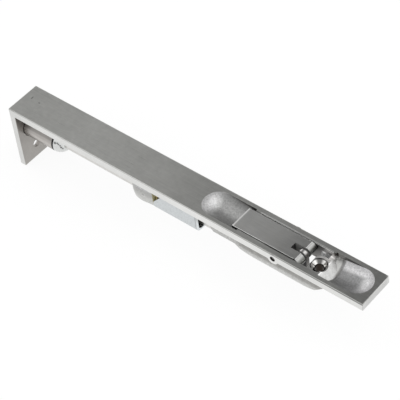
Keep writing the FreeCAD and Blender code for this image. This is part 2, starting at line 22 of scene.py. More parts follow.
class Wire:  # one socket, so that shader maths reads as plain expressions
    def __init__(self, graph, socket):
        self.graph = graph
        self.socket = socket

    def calc(self, operation, *values):
        return self.graph.node("Math", {"operation": operation}, values)

    def __add__(self, other):
        return self.calc("ADD", self, other)

    def __sub__(self, other):
        return self.calc("SUBTRACT", self, other)

    def __rsub__(self, other):
        return self.calc("SUBTRACT", other, self)

    def __mul__(self, other):
        return self.calc("MULTIPLY", self, other)

    def __truediv__(self, other):
        return self.calc("DIVIDE", self, other)

    def __rtruediv__(self, other):
        return self.calc("DIVIDE", other, self)

    def __pow__(self, other):
        return self.calc("POWER", self, other)

    def __rpow__(self, other):
        return self.calc("POWER", other, self)

    __radd__ = __add__
    __rmul__ = __mul__

    def size(self):
        return self.calc("ABSOLUTE", self)

    def most(self, other):
        return self.calc("MAXIMUM", self, other)

    def toward(self, other, share):  # this value at share 0, the other at share 1
        return self + share * (other - self)

    def rise(self, low, high):  # 0 below low, 1 above high, smooth between
        values = {"Value": self, "From Min": low, "From Max": high}
        return self.graph.node("MapRange", {"interpolation_type": "SMOOTHSTEP"}, values)

    def within(self, low, high, soft=0.05):
        return self.rise(low - soft, low + soft) * (1 - self.rise(high - soft, high + soft))

    def past(self, level, border):  # rises over a border, whose ends are given from the level
        return self.rise(level + border[0], level + border[1])

    def about(self, level, band):  # 1 inside a band, whose ends are given from the level
        return self.within(level + band[0], level + band[1])


def distance(*offsets):
    return sum(offset ** 2.0 for offset in offsets) ** 0.5


def ramped(spot, steps):  # a step is where it starts, where it ends and what it adds
    return sum(gain * spot.rise(start, end) for start, end, gain in steps)


class Graph:  # the nodes of one material or of the world
    def __init__(self, tree):
        self.tree = tree
        self.tree.nodes.clear()

    def node(self, kind, settings=None, values=None, output=0):
        made = self.tree.nodes.new("ShaderNode" + kind)
        for name, value in (settings or {}).items():
            setattr(made, name, value)
        pairs = values.items() if isinstance(values, dict) else enumerate(values or ())
        for name, value in pairs:
            if isinstance(value, Wire):
                self.tree.links.new(value.socket, made.inputs[name])
            elif made.inputs[name].type == "RGBA":
                made.inputs[name].default_value = (*value, 1.0)
            else:
                made.inputs[name].default_value = value
        return Wire(self, made.outputs[output]) if made.outputs else None

    def tint(self, share, first, second):
        return self.node("Mix", {"data_type": "RGBA"}, {0: share, 6: first, 7: second}, 2)

    def shade(self, colour, brightness):  # the colour times a value
        grey = self.node("CombineColor", {}, [brightness, brightness, brightness])
        settings = {"data_type": "RGBA", "blend_type": "MULTIPLY"}
        return self.node("Mix", settings, {0: 1.0, 6: colour, 7: grey}, 2)


class Finish(Graph):  # the surface of one metal piece
    def __init__(self, title, patterns, specks=None):
        self.material = bpy.data.materials.new(title)
        self.material.use_nodes = True
        super().__init__(self.material.node_tree)
        self.place = self.node("TexCoord", output="Object")
        self.facing = self.node("TexCoord", output="Normal")
        self.patterns = {name: self.grain(*values) for name, values in patterns.items()}
        if specks:
            self.patterns["specks"] = self.pits(specks)

    def along(self, axis):  # mm along an axis of the part
        return self.node("SeparateXYZ", {}, [self.place], axis) * (1 / mm)

    def turned(self, axis):  # how far the surface faces along an axis
        return self.node("SeparateXYZ", {}, [self.facing], axis)

    def grain(self, perMm, detail, rough, stretch=(1, 1, 1)):
        scale = tuple(perMm / mm * part for part in stretch)
        spot = self.node("VectorMath", {"operation": "MULTIPLY"}, [self.place, scale])
        values = {"Vector": spot, "Scale": 1.0, "Detail": detail, "Roughness": rough}
        return self.node("TexNoise", {}, values)

    def pits(self, perMm):
        return self.node("TexVoronoi", {}, {"Vector": self.place, "Scale": perMm / mm})

    def tone(self, shares):  # a plain share and shares of the patterns that are named
        total = shares.get("plain", 0.0)
        for name, share in shares.items():
            if name != "plain":
                total = total + share * self.patterns[name]
        return total

    def metal(self, colour, rough, height, strength=0.3, depth=0.02):
        bump = {"Height": height, "Strength": strength, "Distance": depth * mm}
        values = {"Base Color": colour, "Roughness": rough, "Metallic": 1.0}
        values["Normal"] = self.node("Bump", {}, bump)
        shader = self.node("BsdfPrincipled", {}, values)
        self.node("OutputMaterial", {}, {"Surface": shader})
        return self.material


# the casting: brushed face, milled edges, cast inside

casting = {
    "face": (0.53, 0.532, 0.512),
    "edge": (0.78, 0.78, 0.765),
    # painted shade: a darker copy of the edge colour for the end faces
    "shadedEndEdge": (0.67, 0.67, 0.66),
    # painted dark reflection along the top of the sides, darker at the far end
    "arrisShade": (0.40, 0.40, 0.39),
    "arrisEndShade": (0.22, 0.22, 0.215),
    "toe": (0.38, 0.365, 0.345),
    # painted shade on the toe towards the plate
    "toeTopShade": (0.30, 0.285, 0.27),
    "toeBore": (0.34, 0.32, 0.30),
    "cast": (0.56, 0.56, 0.545),
    # painted shade: a darker band of the housing's sides under the plate
    "skin": (0.36, 0.355, 0.34),
    # painted light on the lug's end face, which lies in shade
    "lugEndLight": (0.95, 0.90, 0.62),
    "ramp": (0.59, 0.59, 0.58),
    # painted light on the boss top and on the foot of the walls beside it
    "litBossTop": (0.86, 0.85, 0.84),
    # painted shade and painted light in the scoops; the left light colour is also painted light on
    # the moat floor
    "paintedShadeLeft": (0.34, 0.34, 0.335),
    "paintedShadeRight": (0.31, 0.31, 0.31),
    "paintedLightLeft": (0.72, 0.72, 0.72),
    "paintedLightRight": (0.74, 0.735, 0.74),
    # light colour of a worn corner, and of painted highlights
    "wearAndSheen": (0.92, 0.92, 0.91),
    # painted shade on the plate's underside
    "under": (0.22, 0.21, 0.20),
    # painted shade on the pocket walls; also used for painted shade in a crease and beside the near
    # gap
    "wall": (0.17, 0.165, 0.16),
    # painted light on the walls beside the screw boss
    "litWallEnd": (0.50, 0.49, 0.48),
    "sink": (0.78, 0.77, 0.75),
    # painted shade in the holes and in the corner of the wall's step
    "bore": (0.025, 0.019, 0.015),
    "pit": (0.16, 0.155, 0.15),
    # patterns: how many to a mm, detail, roughness and stretch
    "patterns": {
        "streaks": (1.0, 4.0, 0.6, (0.05, 4.0, 4.0)),
        "scratches": (1.0, 3.0, 0.7, (0.25, 11.0, 11.0)),
        "clouds": (0.16, 2.0, 0.5),
        "blots": (0.45, 2.0, 0.5),
        "grit": (1.8, 4.0, 0.7),
        "lumps": (0.55, 2.0, 0.5),
        "sand": (1.3, 2.0, 0.7),
    },
    "specks": 1.1,
    # brightness, and steps in it: start, end and gain; the steps are painted light and shade
    "faceTone": {"plain": 0.46, "streaks": 0.34, "scratches": 0.30, "clouds": 0.18, "blots": 0.18},
    "faceSteps": (
        (8.0, 22.0, 0.06), (20.0, 48.0, 0.13), (84.0, 112.0, -0.13),
        (146.0, 166.0, -0.15), (188.0, 200.0, -0.14),
    ),
    "edgeTone": {"plain": 0.72, "scratches": 0.16, "clouds": 0.12},
    "edgeSteps": ((3.4, 20.0, 0.08), (90.0, 106.0, 0.06), (147.0, 163.0, -0.06)),
    "toeTone": {"plain": 0.76, "clouds": 0.26, "grit": 0.20},
    "castTone": {"plain": 0.56, "grit": 0.46, "lumps": 0.30, "specks": 0.12},
    "rampTone": {"plain": 0.84, "blots": 0.34},
    "scoopTone": {"plain": -0.45, "sand": 0.9},
    "housingTone": {"plain": -0.38, "sand": 0.7},
    "housingSteps": ((4.0, 10.0, -0.12),),
    "lugSteps": ((0.0, 4.0, -0.26),),
    "sinkTone": {"plain": 0.06, "clouds": 0.12},
    "lobeGain": 0.98,
    "ringLoss": 0.80,
    # heights, half widths and places along the part, in mm, as are all lengths here
    "faceZ": 15.8,
    "rimZ": 15.3,
    "plateauZ": 11.95,
    "backZ": 11.55,
    "boreZ": 10.3,
    "halfWidth": 9.5,
    "scoopSide": 7.3,
    "pocketSide": 6.6,
    "toeInner": 3.4,
    "lugStart": 69.0,
    "lugEnd": 84.1,
    "scoopStart": 119.0,
    "pocketStart": 134.4,
    "bossStart": 169.8,
    "moatEnd": 174.9,
    "rampStart": 176.4,
    "rampEnd": 182.2,
    "scoopEnd": 195.0,
    "farEnd": 203.0,
    # holes, and the marks of wear that are round
    "screwX": 173.6,
    "sinkRadius": 3.9,
    "holeRadius": 2.25,
    "toeHoleZ": -12.9,
    "pinX": 156.0,
    "pinZ": 12.94,
    "pinRadius": 1.3,
    "dentX": 78.7,
    "dentZ": 2.4,
    "dentRing": (0.8, 1.3, 0.2),
    "dentMiddle": (0.5, 0.9),
    "dentDepth": 0.14,
    "pits": ((4.45, 2.3, 0.45, 1.3), (9.6, 1.6, 0.7, 0.4)),  # x, y, reach along and across
    "pitBorder": (0.9, 1.5),
    # borders and bands, from one of the sizes above
    "surface": (-0.12, -0.04),
    "before": (-0.2, 0.0),
    "after": (0.0, 0.1),
    "sinkBorder": (0.0, 0.05),
    "ringBorder": (-0.5, -0.3),
    "toeBorder": (0.1, 0.3),
    "scoopBorder": (0.1, 0.3),
    "outerBorder": (0.5, 0.8),
    "pocketBorder": (0.02, 0.1),
    "pocketOverlap": 0.1,
    "lipBorder": (-0.1, 0.0),
    "rampBorder": (-0.3, 0.0),
    "dishBorder": (-1.0, 0.0),
    "housingBorder": (0.0, 1.0),
    "underBand": (-0.2, 0.4),
    "bossBand": (-0.1, 0.1),
    "crestBand": (-0.1, 0.5),
    "brinkBand": (0.0, 0.6),
    "gapBand": (-0.1, 0.35),
    "brinkDelay": 3.0,
    "scoopSoft": 0.2,
    "arrisDepth": (0.35, 0.80),
    "arrisFrom": 110.0,
    "arrisBorder": (-0.15, 0.15),
    # zones of their own
    "floorZ": (5.0, 6.0),
    "skirtX": (134.5, 138.5),
    "skirtZ": (6.4, 8.4),
    "toeFade": (-18.0, 9.0),
    "rightHalf": (150.0, 160.0),
    "leftLight": (112.0, 119.0),
    "farLight": (3.8, 5.6),
    "endLightX": (192.0, 196.5),
    "endLightY": (-6.0, 1.0),
    "bossY": (-3.0, 1.0),
    "creaseShadeX": (181.0, 182.6, 0.4),
    "creaseShadeY": (-3.0, 2.0),
    "wallEndX": (172.2, 176.3, 2.0),
    "footX": (170.5, 176.3, 1.0),
    "footZ": (12.3, 13.1),
    "stepShadowX": (176.7, 178.6, 0.4),
    "stepShadowZ": (13.6, 14.2),
    "glintX": (149.0, 167.5, 1.5),
    "glintY": (5.0, 6.0),
    "glintZ": (14.0, 14.6),
    "cornerX": (201.2, 202.6),
    "cornerY": (7.9, 9.2),
    "cornerZ": (13.0, 15.0),
    "brinkY": (-1.0, 1.0),
    "brinkSteps": ((150.0, 162.0, -0.35),),
    "gapX": (150.0, 166.0, 3.0),
    # how far the surface has to face one way
    "faceUpright": (0.90, 0.98),
    "faceBack": (0.5, 0.9),
    "faceLug": (0.80, 0.95),
    "faceRamp": (0.30, 0.44),
    "faceLobes": (0.12, 0.50),
    "lobesAlong": (0.82, 0.57),
    # how much of its colour a mark takes
    "crestShare": 0.8,
    "creaseShadeShare": 0.7,
    "glintShare": 0.8,
    "cornerShare": 0.7,
    "pitShare": 0.8,
    "brinkShare": 0.95,
    "gapShare": 0.8,
    # roughness and bump
    "castRough": {"plain": 0.27, "grit": 0.08},
    "wornRough": {"plain": 0.24, "streaks": 0.12},
    "scoopRough": {"plain": 0.46, "grit": 0.10},
    "sinkRough": 0.16,
    "dullRough": 0.75,
    "castBump": {"grit": 1.0, "lumps": 0.6},
    "wornBump": {"scratches": 0.25},
    "toeBump": {"grit": 0.3},
    "bump": 0.3,
    "bumpDepth": 0.03,
}


class CastingFinish(Finish):
    def __init__(self):
        super().__init__("castingMetal", casting["patterns"], casting["specks"])
        self.spot = [self.along(axis) for axis in "XYZ"]
        self.way = [self.turned(axis) for axis in "XYZ"]
        self.findPlate()
        self.findHoles()
        self.findPocket()
        self.findBack()

    def findPlate(self):
        c = casting
        x, y, z = self.spot
        self.top = z.past(c["faceZ"], c["surface"])
        self.side = y.size().past(c["halfWidth"], c["surface"])
        self.ends = x.past(c["farEnd"], c["surface"]).most((0 - x).past(0.0, c["surface"]))
        self.edge = self.side.most(self.ends) * (1 - self.top)
        self.wearAndSheen = self.edge.most(self.top)
        self.toe = 1 - x.past(c["toeInner"], c["toeBorder"])

    def findHoles(self):
        c = casting
        x, y, z = self.spot
        across = distance(x - c["screwX"], y)
        below = 1 - z.past(c["plateauZ"], c["after"])
        self.sink = (1 - across.past(c["sinkRadius"], c["sinkBorder"])) * below
        self.ring = across.past(c["sinkRadius"], c["ringBorder"])
        deep = 1 - z.past(c["boreZ"], c["before"])
        bore = (1 - across.past(c["holeRadius"], c["after"])) * deep
        fromPin = distance(x - c["pinX"], z - c["pinZ"])
        self.holes = bore.most(1 - fromPin.past(c["pinRadius"], c["after"]))
        fromToeHole = distance(y, z - c["toeHoleZ"])
        self.toeHole = 1 - fromToeHole.past(c["holeRadius"], c["after"])

    def findPocket(self):
        c = casting
        x, y, z = self.spot
        inner = 1 - y.size().past(c["scoopSide"], c["scoopBorder"])
        between = 1 - y.size().past(c["pocketSide"], c["pocketBorder"])
        lip = z.past(c["rimZ"], c["lipBorder"])
        self.inside = inner * z.rise(*c["floorZ"]) * (1 - self.top)
        self.moat = x.within(c["bossStart"], c["moatEnd"]) * self.inside
        self.moat = self.moat * (1 - z.past(c["plateauZ"], c["before"]))
        self.moatFloor = self.moat * (1 - self.sink)
        pocket = x.within(c["pocketStart"], c["bossStart"] + c["pocketOverlap"])
        scoops = x.within(c["scoopStart"], c["scoopEnd"], c["scoopSoft"]) * inner
        upright = self.way[1].size().rise(*c["faceUpright"])
        self.wall = (pocket * between * (1 - lip)).most(upright * scoops) * (1 - self.moat)
        self.rim = x.within(c["pocketStart"], c["rampStart"]) * between * lip * (1 - self.top)
        leftScoop = 1 - x.past(c["pocketStart"], c["before"])
        rightScoop = x.past(c["rampEnd"], c["dishBorder"])
        self.dished = self.inside * leftScoop.most(rightScoop)

    def findBack(self):
        c = casting
        x, y, z = self.spot
        facesBack = (0 - self.way[2]).rise(*c["faceBack"])
        self.under = facesBack * z.about(c["backZ"], c["underBand"])
        outside = y.size().past(c["scoopSide"], c["outerBorder"]) * (1 - self.side)
        self.housing = outside * x.past(c["lugEnd"], c["housingBorder"])
        self.skirt = outside * x.rise(*c["skirtX"]) * z.rise(*c["skirtZ"])
        self.lug = x.within(c["lugStart"], c["lugEnd"]) * (1 - z.past(c["backZ"], c["before"]))
        self.lugEnd = self.lug * self.way[0].rise(*c["faceLug"])

    def faceColour(self):
        c = casting
        # painted light and shade along the face, in steps along x
        return self.shade(c["face"], self.tone(c["faceTone"]) + ramped(self.spot[0], c["faceSteps"]))

    def edgeColour(self):
        c = casting
        # painted shade on the end faces
        steel = self.tint(self.ends, c["edge"], c["shadedEndEdge"])
        # painted light and shade along the edges, in steps along x
        return self.shade(steel, self.tone(c["edgeTone"]) + ramped(self.spot[0], c["edgeSteps"]))

    def toeColour(self):
        c = casting
        # painted shade on the toe, darker towards the plate
        steel = self.tint(self.spot[2].rise(*c["toeFade"]), c["toe"], c["toeTopShade"])
        return self.shade(steel, self.tone(c["toeTone"]))

    def sinkColour(self):  # painted reflection: two bright lobes in the countersink, and a painted shadow ring at its rim
        c = casting
        alongX, alongY = c["lobesAlong"]
        lobes = (alongX * self.way[0] + alongY * self.way[1]).size().rise(*c["faceLobes"])
        tone = self.tone(c["sinkTone"]) + c["lobeGain"] * lobes
        return self.shade(c["sink"], tone * (1 - c["ringLoss"] * self.ring))

    def wallColour(self):  # the pocket's walls in painted shade, with painted light beside the screw boss and at their foot, a painted shadow in a step corner and a painted highlight near the far top
        c = casting
        x, y, z = self.spot
        # painted shade on the walls, with painted light beside the screw boss
        colour = self.tint(x.within(*c["wallEndX"]), c["wall"], c["litWallEnd"])
        # painted light at the foot of the walls beside the boss
        foot = x.within(*c["footX"]) * (1 - z.rise(*c["footZ"]))
        colour = self.tint(foot, colour, c["litBossTop"])
        # painted shadow in the corner of the wall's step
        stepShadow = x.within(*c["stepShadowX"]) * z.rise(*c["stepShadowZ"])
        colour = self.tint(stepShadow, colour, c["bore"])
        # painted highlight near the top of the far wall
        glint = x.within(*c["glintX"]) * y.rise(*c["glintY"]) * z.rise(*c["glintZ"])
        return self.tint(c["glintShare"] * glint, colour, c["wearAndSheen"])

    # painted light and shade in the scoops, and painted light on the moat floor
    def scoopColour(self, colour):
        c = casting
        x, y, z = self.spot
        right = x.rise(*c["rightHalf"])
        light = (1 - x.rise(*c["leftLight"])).most(right * y.rise(*c["farLight"]))
        light = light.most(x.rise(*c["endLightX"]) * y.rise(*c["endLightY"]))
        paintedShade = self.tint(right, c["paintedShadeLeft"], c["paintedShadeRight"])
        bright = self.tint(right, c["paintedLightLeft"], c["paintedLightRight"])
        colour = self.tint(self.dished, colour, paintedShade)
        colour = self.tint(self.dished * light, colour, bright)
        return self.tint(self.moatFloor, colour, c["paintedLightLeft"])

    def bossColour(self, colour):
        c = casting
        x, y, z = self.spot
        # painted light on the boss top
        flat = z.about(c["plateauZ"], c["bossBand"]) * x.within(c["bossStart"], c["rampStart"])
        flat = flat * y.rise(*c["bossY"]) * self.inside
        colour = self.tint(flat, colour, c["litBossTop"])
        # painted highlight along the start of the ramp
        crest = x.about(c["rampStart"], c["crestBand"]) * self.inside
        colour = self.tint(c["crestShare"] * crest, colour, c["wearAndSheen"])
        # painted shade in the crease between the ramp and the scoop
        creaseShade = x.within(*c["creaseShadeX"]) * y.rise(*c["creaseShadeY"]) * self.inside
        return self.tint(c["creaseShadeShare"] * creaseShade, colour, c["wall"])

    def lugTone(self):  # painted shade towards the plate, with a small round dent
        c = casting
        x, y, z = self.spot
        dent = distance(x - c["dentX"], z - c["dentZ"])
        dented = dent.within(*c["dentRing"]) - (1 - dent.rise(*c["dentMiddle"]))
        return ramped(z, c["lugSteps"]) + c["dentDepth"] * dented

    def castColour(self):
        c = casting
        x, y, z = self.spot
        # painted shade on the housing's sides under the plate
        colour = self.tint(self.skirt, c["cast"], c["skin"])
        ramp = self.way[0].rise(*c["faceRamp"]) * self.inside
        ramp = ramp * x.past(c["rampStart"], c["rampBorder"])
        colour = self.tint(ramp, colour, self.shade(c["ramp"], self.tone(c["rampTone"])))
        colour = self.bossColour(self.scoopColour(colour))
        tone = self.tone(c["castTone"]) + self.lug * self.lugTone()
        tone = tone + self.dished * self.tone(c["scoopTone"])
        # painted shade on the housing's sides, darker towards the plate
        tone = tone + self.housing * (self.tone(c["housingTone"]) + ramped(z, c["housingSteps"]))
        # painted light on the lug's shaded end face
        return self.tint(self.lugEnd, self.shade(colour, tone), c["lugEndLight"])

    def arrisColour(self, colour):  # painted dark reflection along the side's upper border, lower and darker to the far end
        c = casting
        x, y, z = self.spot
        toEnd = x.rise(c["arrisFrom"], c["farEnd"])
        depth, endDepth = c["arrisDepth"]
        level = c["faceZ"] - depth - (endDepth - depth) * toEnd
        arrisShade = self.side * (z - level).rise(*c["arrisBorder"])
        return self.tint(arrisShade, colour, self.tint(toEnd, c["arrisShade"], c["arrisEndShade"]))

    def pitted(self):
        pits = 0.0
        for pitX, pitY, long, wide in casting["pits"]:
            away = distance((self.spot[0] - pitX) / long, (self.spot[1] - pitY) / wide)
            pits = (1 - (away + self.patterns["grit"]).rise(*casting["pitBorder"])).most(pits)
        return pits

    def wearColour(self, colour):  # worn corner, pits, a painted highlight line along the pocket's far edge and a painted shade line along its near edge
        c = casting
        x, y, z = self.spot
        corner = x.rise(*c["cornerX"]) * y.rise(*c["cornerY"]) * z.rise(*c["cornerZ"])
        colour = self.tint(c["cornerShare"] * corner, colour, c["wearAndSheen"])
        colour = self.tint(c["pitShare"] * self.top * self.pitted(), colour, c["pit"])
        # painted highlight line along the pocket's far edge
        brink = y.size().about(c["pocketSide"], c["brinkBand"]) * y.rise(*c["brinkY"])
        brink = brink * x.within(c["pocketStart"] + c["brinkDelay"], c["rampStart"])
        brink = brink * (1 + ramped(x, c["brinkSteps"])) * self.top
        colour = self.tint(c["brinkShare"] * brink, colour, c["wearAndSheen"])
        # painted shade line along the pocket's near edge
        gap = (0 - y).about(c["pocketSide"], c["gapBand"]) * x.within(*c["gapX"]) * self.top
        return self.tint(c["gapShare"] * gap, colour, c["wall"])

    def roughness(self):
        c = casting
        rough = self.tone(c["castRough"])
        rough = rough.toward(self.tone(c["wornRough"]), self.wearAndSheen)
        rough = rough.toward(c["sinkRough"], self.sink)
        rough = rough.toward(self.tone(c["scoopRough"]), self.dished)
        return rough.toward(c["dullRough"], self.rim.most(self.moatFloor).most(self.lugEnd))

    def relief(self):
        c = casting
        height = (1 - self.wearAndSheen.most(self.toe)) * self.tone(c["castBump"])
        height = height + self.wearAndSheen * self.tone(c["wornBump"]) + self.toe * self.tone(c["toeBump"])
        return height * (1 - self.sink)

    def painted(self):
        c = casting
        colour = self.tint(self.toe, self.castColour(), self.toeColour())
        colour = self.tint(self.toe * self.toeHole, colour, c["toeBore"])
        # painted shade on the plate's underside
        colour = self.tint(self.under, colour, c["under"])
        colour = self.arrisColour(self.tint(self.edge, colour, self.edgeColour()))
        colour = self.wearColour(self.tint(self.top, colour, self.faceColour()))
        # painted shade on the pocket walls
        colour = self.tint(self.wall, colour, self.wallColour())
        # painted highlight line along the top of the pocket walls
        colour = self.tint(self.rim, colour, c["edge"])
        colour = self.tint(self.sink, colour, self.sinkColour())
        # painted shade in the holes
        colour = self.tint(self.holes, colour, c["bore"])
        return self.metal(colour, self.roughness(), self.relief(), c["bump"], c["bumpDepth"])


# the lever: brushed top, light polished bevels, and sides in painted shade, near black

lever = {
    "top": (0.43, 0.43, 0.42),
    "bevel": (0.85, 0.85, 0.84),
    "knuckle": (0.50, 0.50, 0.49),
    # painted shade for the knuckle's faces towards the boss
    "paintedShade": (0.26, 0.265, 0.25),
    "under": (0.50, 0.49, 0.47),
    # painted shade: the sides are near black
    "side": (0.06, 0.06, 0.06),
    "forkSide": (0.40, 0.40, 0.39),
    "patterns": {
        "streaks": (1.0, 4.0, 0.6, (0.06, 4.5, 4.5)),
        "scratches": (1.0, 3.0, 0.7, (0.3, 12.0, 12.0)),
        "clouds": (0.2, 2.0, 0.5),
    },
    "topTone": {"plain": 0.62, "streaks": 0.40, "scratches": 0.34, "clouds": 0.18},
    "topSteps": ((136.0, 168.0, -0.20), (150.0, 164.0, -0.15)),
    "brightTone": {"plain": 0.90, "scratches": 0.14},
    "underTone": {"plain": 0.85, "clouds": 0.22},
    "sideTone": {"plain": 1.0, "clouds": 1.0},
    "faceZ": 15.8,
    "tipX": 131.3,
    "knuckleX": 165.3,
    "halfWidth": 6.2,
    "forkHalf": 1.7,
    "flatBorder": (-0.05, -0.01),
    "raisedBorder": (-0.2, -0.1),
    "knuckleBorder": (0.0, 0.6),
    "tipBorder": (0.7, 1.3),
    "farBorder": (-0.40, -0.25),
    "nearBorder": (-0.25, -0.12),
    "lipBorder": (0.15, 0.3),
    "forkBorder": (0.3, 0.8),
    "farEdgeX": (162.0, 165.0),
    "nearEdgeX": (143.0, 153.0),
    "faceBack": (0.3, 0.6),
    "faceEnd": (0.55, 0.80),
    "faceSide": (0.80, 0.95),
    "tipShare": 0.65,
    "farShare": 0.8,
    "rough": {"plain": 0.34, "streaks": 0.10},
    "roundedRough": -0.14,
    "tipRough": 0.15,
    "lipRough": 0.4,
    "dullRough": 0.3,
    "bump": 0.25,
}


def leverFinish():
    c = lever
    skin = Finish("leverMetal", c["patterns"])
    x, y, z = [skin.along(axis) for axis in "XYZ"]
    nx, ny, nz = [skin.turned(axis) for axis in "XYZ"]
    rounded = x.past(c["knuckleX"], c["knuckleBorder"])
    flat = z.past(c["faceZ"], c["flatBorder"]) * (1 - rounded)
    raised = z.past(c["faceZ"], c["raisedBorder"])
    tip = 1 - x.past(c["tipX"], c["tipBorder"])
    lips = rounded * (1 - y.size().past(c["forkHalf"], c["lipBorder"]))
    inFork = 1 - y.size().past(c["forkHalf"], c["forkBorder"])
    farEdge = y.past(c["halfWidth"], c["farBorder"]) * (1 - x.rise(*c["farEdgeX"]))
    nearEdge = (0 - y).past(c["halfWidth"], c["nearBorder"]) * x.rise(*c["nearEdgeX"])

    # painted shade on the brushed top, in steps towards the knuckle
    brushed = skin.shade(c["top"], skin.tone(c["topTone"]) + ramped(x, c["topSteps"]))
    bright = skin.shade(c["bevel"], skin.tone(c["brightTone"]))
    knuckle = skin.shade(c["knuckle"], skin.tone(c["brightTone"]))
    plain = skin.shade(c["under"], skin.tone(c["underTone"]))
    # the sides in painted shade
    sides = skin.shade(c["side"], skin.tone(c["sideTone"]))

    colour = skin.tint(raised, sides, bright)
    colour = skin.tint((0 - nz).rise(*c["faceBack"]), colour, plain)
    colour = skin.tint(rounded, colour, knuckle)
    # painted shade where the knuckle faces the boss
    colour = skin.tint(rounded * nx.rise(*c["faceEnd"]), colour, c["paintedShade"])
    # painted shade on the knuckle's middle, beside the link
    colour = skin.tint(lips, colour, c["side"])
    # painted highlight along the tip of the top
    colour = skin.tint(flat, colour, skin.tint(c["tipShare"] * tip, brushed, c["bevel"]))
    # painted highlight along the far edge of the top
    colour = skin.tint(c["farShare"] * farEdge, colour, c["bevel"])
    # painted shade along the near edge of the top
    colour = skin.tint(nearEdge * (1 - rounded), colour, c["side"])
    forked = skin.tint(inFork, c["side"], c["forkSide"])
    colour = skin.tint(ny.size().rise(*c["faceSide"]), colour, forked)

    dulled = raised.most(inFork * (1 - rounded)) * (1 - flat)
    rough = skin.tone(c["rough"]) + c["roundedRough"] * rounded + c["tipRough"] * tip
    rough = rough + c["lipRough"] * lips + c["dullRough"] * dulled
    return skin.metal(colour, rough, skin.patterns["scratches"], c["bump"])


# the link: lighter and smoother where it faces up across the middle, darker elsewhere, with painted
# shade on its sides and near edge

link = {
    "upwardTint": (0.66, 0.65, 0.64),
    "front": (0.22, 0.21, 0.20),
    # painted shade on the sides and the near edge
    "side": (0.10, 0.10, 0.10),
    "patterns": {"lines": (1.0, 3.0, 0.6, (3.0, 0.3, 3.0)), "clouds": (0.4, 2.0, 0.5)},
    "tone": {"plain": 0.78, "lines": 0.20, "clouds": 0.20},
    "faceUp": (0.50, 0.85),
    "faceSide": (0.80, 0.95),
    "middleY": (-0.6, 0.8, 0.15),
    "nearY": (-1.0, -0.75),
    "rough": 0.34,
    "wornRough": -0.12,
    "edgeRough": 0.3,
}


def linkFinish():
    c = link
    skin = Finish("linkMetal", c["patterns"])
    y = skin.along("Y")
    wearAndSheen = skin.turned("Z").rise(*c["faceUp"]) * y.within(*c["middleY"])
    # painted shade on the sides and the near edge
    edges = skin.turned("Y").size().rise(*c["faceSide"]).most(1 - y.rise(*c["nearY"]))
    colour = skin.shade(skin.tint(wearAndSheen, c["front"], c["upwardTint"]), skin.tone(c["tone"]))
    colour = skin.tint(edges, colour, c["side"])
    rough = c["rough"] + c["wornRough"] * wearAndSheen + c["edgeRough"] * edges
    return skin.metal(colour, rough, skin.patterns["lines"])


# the rod, leaf, bush and pins: one colour, streaks along one axis, clouds and specks

drawn = {
    "lines": (1.0, 3.0, 0.6),
    "clouds": (0.3, 2.0, 0.5),
    "specks": 1.5,
    "tone": {"plain": 0.78, "lines": 0.20, "clouds": 0.24, "specks": -0.05},
    "rough": {"lines": 0.10, "clouds": 0.08},
    "alongRod": (0.08, 5.0, 5.0),
    "alongPin": (5.0, 0.2, 5.0),
    "aboutRod": (5.0, 0.15, 0.15),
}


def drawnFinish(title, colour, rough, stretch):
    patterns = {"lines": (*drawn["lines"], drawn[stretch]), "clouds": drawn["clouds"]}
    skin = Finish(title, patterns, drawn["specks"])
    colour = skin.shade(colour, skin.tone(drawn["tone"]))
    return skin.metal(colour, rough + skin.tone(drawn["rough"]), skin.patterns["lines"])


# the collar: turned bright, with a dark ring before it and dark marks on its dome

collar = {
    "steel": (0.68, 0.69, 0.68),
    "dark": (0.10, 0.10, 0.10),
    "patterns": {"rings": (1.0, 3.0, 0.6, (5.0, 0.15, 0.15)), "clouds": (0.5, 2.0, 0.5)},
    "tone": {"plain": 0.80, "rings": 0.20, "clouds": 0.20},
    "rough": {"plain": 0.18, "rings": 0.08},
    "ringEnd": 22.5,
    "ringBorder": (-0.3, 0.0),
    "darkMarks": (  # x, y, z and reach
        (23.3, -5.15, 2.7, 0.65), (24.4, -4.8, 2.8, 0.45), (25.0, -4.65, 2.3, 0.45),
        (25.7, -4.4, 1.6, 0.45), (26.1, -4.3, 0.6, 0.55), (26.6, -3.9, -0.2, 0.45),
    ),
    "markBorder": (0.6, 1.3),
    "markShare": 0.85,
}


def collarFinish():
    c = collar
    skin = Finish("collarMetal", c["patterns"])
    x, y, z = [skin.along(axis) for axis in "XYZ"]
    inner, outer = c["markBorder"]
    marked = 0.0
    for spotX, spotY, spotZ, reach in c["darkMarks"]:
        away = distance(x - spotX, y - spotY, z - spotZ)
        marked = (1 - away.rise(inner * reach, outer * reach)).most(marked)
    colour = skin.shade(c["steel"], skin.tone(c["tone"]))
    colour = skin.tint(c["markShare"] * marked, colour, c["dark"])
    colour = skin.tint(1 - x.past(c["ringEnd"], c["ringBorder"]), colour, c["dark"])
    return skin.metal(colour, skin.tone(c["rough"]), skin.patterns["rings"])


# the bolt: fine rings, a painted highlight along its sides and painted shade on top

bolt = {
    "steel": (0.44, 0.42, 0.40),
    "patterns": {"rings": (1.0, 3.0, 0.6, (5.0, 0.15, 0.15)), "clouds": (0.3, 2.0, 0.5)},
    "tone": {"plain": 0.66, "rings": 0.16, "clouds": 0.20},
    "startSteps": ((6.0, 12.0, 0.12),),
    "topSteps": ((0.36, 0.52, -0.30),),
    "sideGain": 0.22,
    "faceSide": (-1.0, 0.2, 0.1),
    "end": 21.5,
    "endBorder": (-0.4, -0.2),
    "rough": {"plain": 0.30, "rings": 0.10},
}


